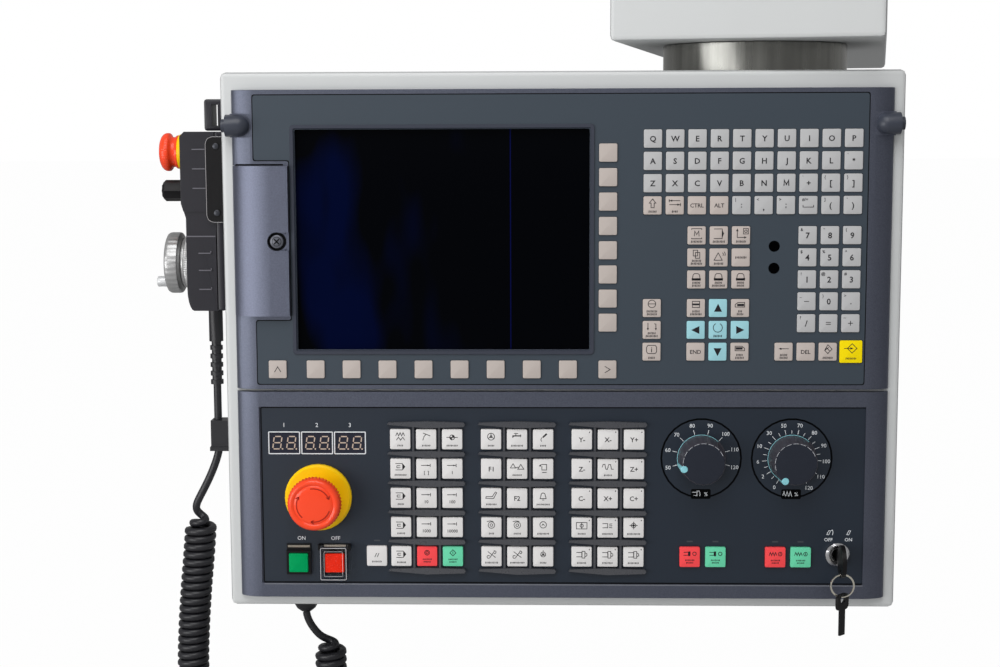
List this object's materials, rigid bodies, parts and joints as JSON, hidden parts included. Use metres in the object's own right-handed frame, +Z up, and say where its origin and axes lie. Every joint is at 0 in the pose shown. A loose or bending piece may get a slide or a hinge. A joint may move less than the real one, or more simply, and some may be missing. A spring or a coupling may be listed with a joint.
{
  "type": "cnc operator console",
  "caption": "Operator console of a CNC lathe on a swivel arm, with screen, keyboard, machine keys, emergency stop and a hand-wheel pendant on a curly cord.",
  "frame": {"origin": "middle of the lower strip of the arm's rear rim, which bolts on to the machine", "axes": "+Z up, -Y from the console's front towards the operator, +X to the console's right"},
  "size_m": [0.6618, 0.6603, 0.6866],
  "materials": {
    "paint": "semi-gloss powder coat",
    "steel": "brushed",
    "slate_plastic": "satin",
    "dark_plastic": "satin",
    "screen": "polished",
    "key_plastic": "satin",
    "guard_plastic": "satin",
    "signal_red": "gloss",
    "signal_yellow": "semi-gloss",
    "signal_green": "gloss",
    "soft_red": "satin",
    "soft_green": "satin",
    "rubber": "matte",
    "chrome": "polished",
    "aluminium": "machined",
    "pendant_plastic": "fine grain",
    "clear_plastic": "clear, polished",
    "circuit_board": "lacquered"
  },
  "bodies": {
    "arm": {"arm_housing": "paint", "swivel_bearing": "steel"},
    "flap": {"port_flap": "slate_plastic", "flap_screw": "steel"},
    "input_button": {"input_key": "signal_yellow"},
    "cycle_stop": {"cycle_stop_key": "soft_red"},
    "cycle_start": {"cycle_start_key": "soft_green"},
    "spindle_stop": {"spindle_stop_key": "soft_red"},
    "spindle_start": {"spindle_start_key": "soft_green"},
    "feed_stop": {"feed_stop_key": "soft_red"},
    "feed_start": {"feed_start_key": "soft_green"},
    "stop_plunger": {"estop_plunger": "dark_plastic"},
    "stop_head": {"estop_mushroom": "signal_red"},
    "power_on": {"power_on_button": "signal_green"},
    "power_off": {"power_off_button": "signal_red"},
    "flip_guard": {"power_off_guard": "clear_plastic"},
    "spindle_override": {"spindle_knob": "dark_plastic"},
    "feed_override": {"feed_knob": "dark_plastic"},
    "lock_key": {"switch_key": "dark_plastic"},
    "ring": {"key_ring": "steel"},
    "spare": {"spare_key": "dark_plastic"},
    "pendant_stop": {"pendant_estop": "signal_red"},
    "axis_selector": {"pendant_axis_knob": "rubber"},
    "wheel": {"handwheel": "aluminium"},
    "crank": {"crank_grip": "aluminium"},
    "console": {"console_housing": "paint", "rear_cover": "paint", "swivel_disc": "steel", "swivel_nut": "steel", "upper_panel": "slate_plastic", "lower_panel": "slate_plastic", "display_unit": "dark_plastic", "port_block": "dark_plastic", "digit_display": "dark_plastic", "estop_contact_block": "dark_plastic", "power_on_bezel": "dark_plastic", "power_off_bezel": "dark_plastic", "pendant_holder": "dark_plastic", "screen_glass": "screen", "keyboard_mat": "key_plastic", "softkeys": "key_plastic", "machine_keys": "key_plastic", "guard_left": "guard_plastic", "guard_middle": "guard_plastic", "guard_right": "guard_plastic", "estop_collar": "signal_yellow", "pendant_estop_collar": "signal_yellow", "left_cover_peg": "rubber", "right_cover_peg": "rubber", "pendant_gland": "rubber", "cord_clip": "rubber", "console_gland": "rubber", "cord_lead": "rubber", "cord_coil": "rubber", "cord_tail": "rubber", "lock_barrel": "chrome", "handwheel_flange": "aluminium", "pendant_shell": "pendant_plastic", "pendant_back": "pendant_plastic", "key_circuit_board": "circuit_board"}
  },
  "joints": [
    {"name": "console_swivel", "type": "hinge", "parent": "arm", "child": "console", "pos_m": [-0.10151, -0.52223, -0.01], "axis": [0, 0, 1], "range_deg": [-90, 90]},
    {"name": "flap_hinge", "type": "hinge", "parent": "console", "child": "flap", "pos_m": [-0.49001, -0.60353, -0.1546], "axis": [0, 0, -1], "range_deg": [0, 95]},
    {"name": "input_button_press", "type": "slide", "parent": "console", "child": "input_button", "axis": [0, 1, 0], "range_m": [0, 0.0006], "stiffness_N_per_m": 1500},
    {"name": "cycle_stop_press", "type": "slide", "parent": "console", "child": "cycle_stop", "axis": [0, 1, 0], "range_m": [0, 0.0006], "stiffness_N_per_m": 1500},
    {"name": "cycle_start_press", "type": "slide", "parent": "console", "child": "cycle_start", "axis": [0, 1, 0], "range_m": [0, 0.0006], "stiffness_N_per_m": 1500},
    {"name": "spindle_stop_press", "type": "slide", "parent": "console", "child": "spindle_stop", "axis": [0, 1, 0], "range_m": [0, 0.0006], "stiffness_N_per_m": 1500},
    {"name": "spindle_start_press", "type": "slide", "parent": "console", "child": "spindle_start", "axis": [0, 1, 0], "range_m": [0, 0.0006], "stiffness_N_per_m": 1500},
    {"name": "feed_stop_press", "type": "slide", "parent": "console", "child": "feed_stop", "axis": [0, 1, 0], "range_m": [0, 0.0006], "stiffness_N_per_m": 1500},
    {"name": "feed_start_press", "type": "slide", "parent": "console", "child": "feed_start", "axis": [0, 1, 0], "range_m": [0, 0.0006], "stiffness_N_per_m": 1500},
    {"name": "stop_press", "type": "slide", "parent": "console", "child": "stop_plunger", "axis": [0, 1, 0], "range_m": [0, 0.0045]},
    {"name": "stop_twist", "type": "hinge", "parent": "stop_plunger", "child": "stop_head", "pos_m": [-0.43179, -0.60923, -0.346], "axis": [0, 1, 0], "range_deg": [0, 45], "stiffness_Nm_per_rad": 0.05},
    {"name": "power_on_press", "type": "slide", "parent": "console", "child": "power_on", "axis": [0, 1, 0], "range_m": [0, 0.0012], "stiffness_N_per_m": 1500},
    {"name": "power_off_press", "type": "slide", "parent": "console", "child": "power_off", "axis": [0, 1, 0], "range_m": [0, 0.0012], "stiffness_N_per_m": 1500},
    {"name": "flip_guard_hinge", "type": "hinge", "parent": "console", "child": "flip_guard", "pos_m": [-0.4201, -0.61233, -0.3836], "axis": [-1, 0, 0], "range_deg": [0, 95]},
    {"name": "spindle_override_turn", "type": "hinge", "parent": "console", "child": "spindle_override", "pos_m": [-0.14692, -0.60923, -0.3162], "axis": [0, 1, 0], "range_deg": [0, 211]},
    {"name": "feed_override_turn", "type": "hinge", "parent": "console", "child": "feed_override", "pos_m": [-0.08012, -0.60923, -0.3162], "axis": [0, 1, 0], "range_deg": [0, 299]},
    {"name": "lock_key_turn", "type": "hinge", "parent": "console", "child": "lock_key", "pos_m": [-0.04529, -0.60923, -0.3885], "axis": [0, 1, 0], "range_deg": [0, 90]},
    {"name": "ring_swing", "type": "hinge", "parent": "lock_key", "child": "ring", "pos_m": [-0.04529, -0.63323, -0.396], "axis": [1, 0, 0], "range_deg": [-60, 10]},
    {"name": "spare_swing", "type": "hinge", "parent": "ring", "child": "spare", "pos_m": [-0.04529, -0.63323, -0.4143], "axis": [1, 0, 0], "range_deg": [-30, 20]},
    {"name": "pendant_stop_press", "type": "slide", "parent": "console", "child": "pendant_stop", "axis": [1, 0, 0], "range_m": [0, 0.003]},
    {"name": "axis_selector_turn", "type": "hinge", "parent": "console", "child": "axis_selector", "pos_m": [-0.50081, -0.54523, -0.1195], "axis": [1, 0, 0], "range_deg": [-75, 75]},
    {"name": "wheel_turn", "type": "hinge", "parent": "console", "child": "wheel", "pos_m": [-0.50081, -0.54523, -0.1751], "axis": [1, 0, 0], "continuous": true},
    {"name": "crank_turn", "type": "hinge", "parent": "wheel", "child": "crank", "pos_m": [-0.50081, -0.54523, -0.1897], "axis": [1, 0, 0], "continuous": true}
  ]
}
